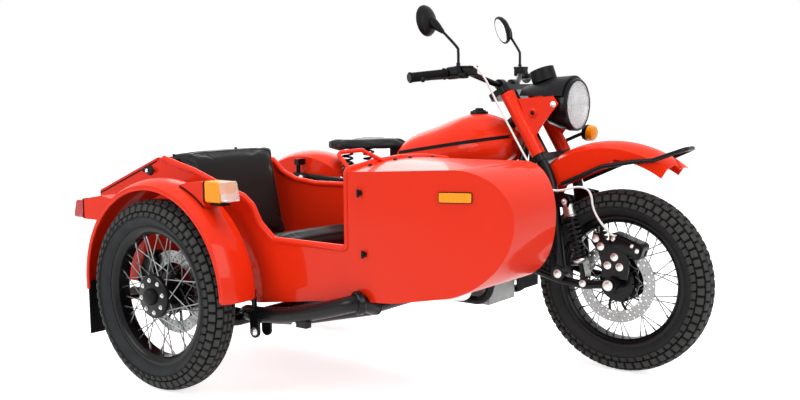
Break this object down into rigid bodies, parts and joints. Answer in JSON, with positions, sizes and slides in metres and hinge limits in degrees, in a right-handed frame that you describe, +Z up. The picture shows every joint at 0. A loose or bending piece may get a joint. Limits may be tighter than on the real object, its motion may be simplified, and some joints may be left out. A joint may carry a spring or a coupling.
{
  "type": "sidecar motorcycle",
  "caption": "Motorcycle with a one-seat sidecar: leading-link fork, opposed cylinders, spoked wheels, tapered open tub with a trunk, painted fenders and lamps.",
  "frame": {"origin": "on the ground under the middle of the whole outline", "axes": "+X forward, +Y to the rider's left, +Z up"},
  "size_m": [2.262, 1.6342, 1.3379],
  "materials": {
    "red_paint": "gloss",
    "black_metal": "satin",
    "black_plastic": "matte",
    "steel": "brushed",
    "chrome": "polished",
    "alloy": "cast",
    "tyre": "matte",
    "rubber": "matte",
    "white_rubber": "smooth",
    "vinyl": "grained",
    "amber": "clear moulded",
    "red_lens": "clear moulded",
    "glass": "clear"
  },
  "bodies": {
    "chassis": {"cockpit_rim": "red_paint", "cylinder_heads": "alloy", "cylinders": "alloy", "engine_case": "alloy", "exhaust": "chrome", "fender_lamps": "red_paint", "frame": "black_metal", "fuel_cap": "black_metal", "fuel_tank": "red_paint", "grab_rail": "red_paint", "marker_lens": "amber", "mud_flap": "rubber", "rear_calipers": "black_metal", "rear_fender": "red_paint", "rear_shocks": "black_metal", "rear_swingarm": "black_metal", "saddle": "vinyl", "seat_back": "vinyl", "seat_cushion": "vinyl", "side_tail_lens": "red_lens", "sidecar_fender": "red_paint", "sidecar_frame": "black_metal", "tail_lamp": "red_lens", "tub_floor": "red_paint", "tub_nose": "red_paint", "tub_side_left": "red_paint", "tub_side_right": "red_paint", "tub_trunk": "red_paint"},
    "steering": {"fork": "black_metal", "fork_shrouds": "red_paint", "front_shocks": "black_metal", "front_caliper": "black_metal", "front_fender": "red_paint", "front_flap": "rubber", "fender_stay": "black_metal", "headlamp": "black_metal", "headlamp_lens": "glass", "cowl": "black_plastic", "handlebar": "black_metal", "controls": "black_metal", "mirrors": "black_metal", "front_signal": "amber", "hoses": "white_rubber"},
    "front_wheel_set": {"front_tyre": "tyre", "front_wheel": "black_metal", "front_disc": "steel"},
    "rear_wheel_set": {"rear_tyre": "tyre", "rear_wheel": "black_metal", "rear_disc": "steel"},
    "sidecar_wheel_set": {"sidecar_tyre": "tyre", "sidecar_wheel": "black_metal", "sidecar_disc": "steel"},
    "trunk_lid_set": {"trunk_lid": "red_paint"},
    "centre_stand_set": {"centre_stand": "black_metal"}
  },
  "joints": [
    {"name": "steering_head", "type": "hinge", "parent": "chassis", "child": "steering", "pos_m": [0.319, 0.38889, 1], "axis": [-0.515, 0, 0.8572], "range_deg": [-35, 35]},
    {"name": "front_spin", "type": "hinge", "parent": "steering", "child": "front_wheel_set", "pos_m": [0.799, 0.38889, 0.332], "axis": [0, 1, 0], "continuous": true},
    {"name": "rear_spin", "type": "hinge", "parent": "chassis", "child": "rear_wheel_set", "pos_m": [-0.701, 0.38889, 0.332], "axis": [0, 1, 0], "continuous": true},
    {"name": "sidecar_spin", "type": "hinge", "parent": "chassis", "child": "sidecar_wheel_set", "pos_m": [-0.386, -0.75111, 0.332], "axis": [0, 1, 0], "continuous": true},
    {"name": "trunk_hinge", "type": "hinge", "parent": "chassis", "child": "trunk_lid_set", "pos_m": [-0.571, -0.03711, 0.78388], "axis": [-0.9311, 0, -0.3647], "range_deg": [0, 95]},
    {"name": "stand_pivot", "type": "hinge", "parent": "chassis", "child": "centre_stand_set", "pos_m": [-0.221, 0.38889, 0.182], "axis": [0, -1, 0], "range_deg": [0, 80]}
  ]
}
